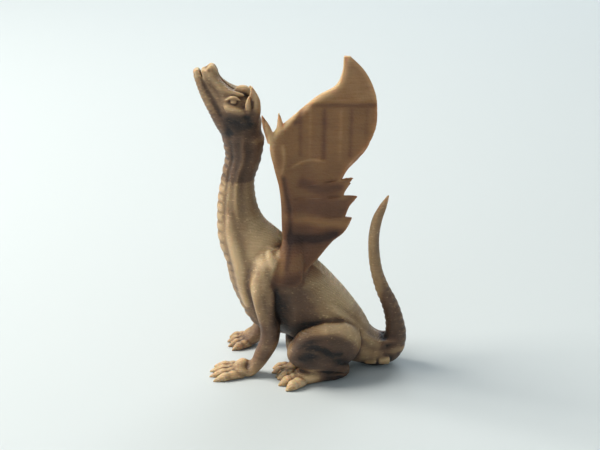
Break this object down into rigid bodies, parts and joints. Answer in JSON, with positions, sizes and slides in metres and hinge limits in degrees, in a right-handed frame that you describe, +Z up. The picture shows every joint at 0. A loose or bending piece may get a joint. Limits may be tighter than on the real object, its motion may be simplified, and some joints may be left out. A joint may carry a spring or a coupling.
{
  "type": "printed dragon figurine",
  "caption": "Sitting winged dragon figurine, head thrown back and wings raised, printed in one piece from translucent sand-coloured plastic.",
  "frame": {"origin": "middle of the footprint box, on the floor under the soles", "axes": "+Z up, the dragon faces -X, its near flank is on the -Y side"},
  "size_m": [0.0962, 0.056, 0.1529],
  "materials": {
    "print": "layered, slightly see-through, satin"
  },
  "bodies": {
    "root": {"dragon": "print"}
  },
  "joints": []
}
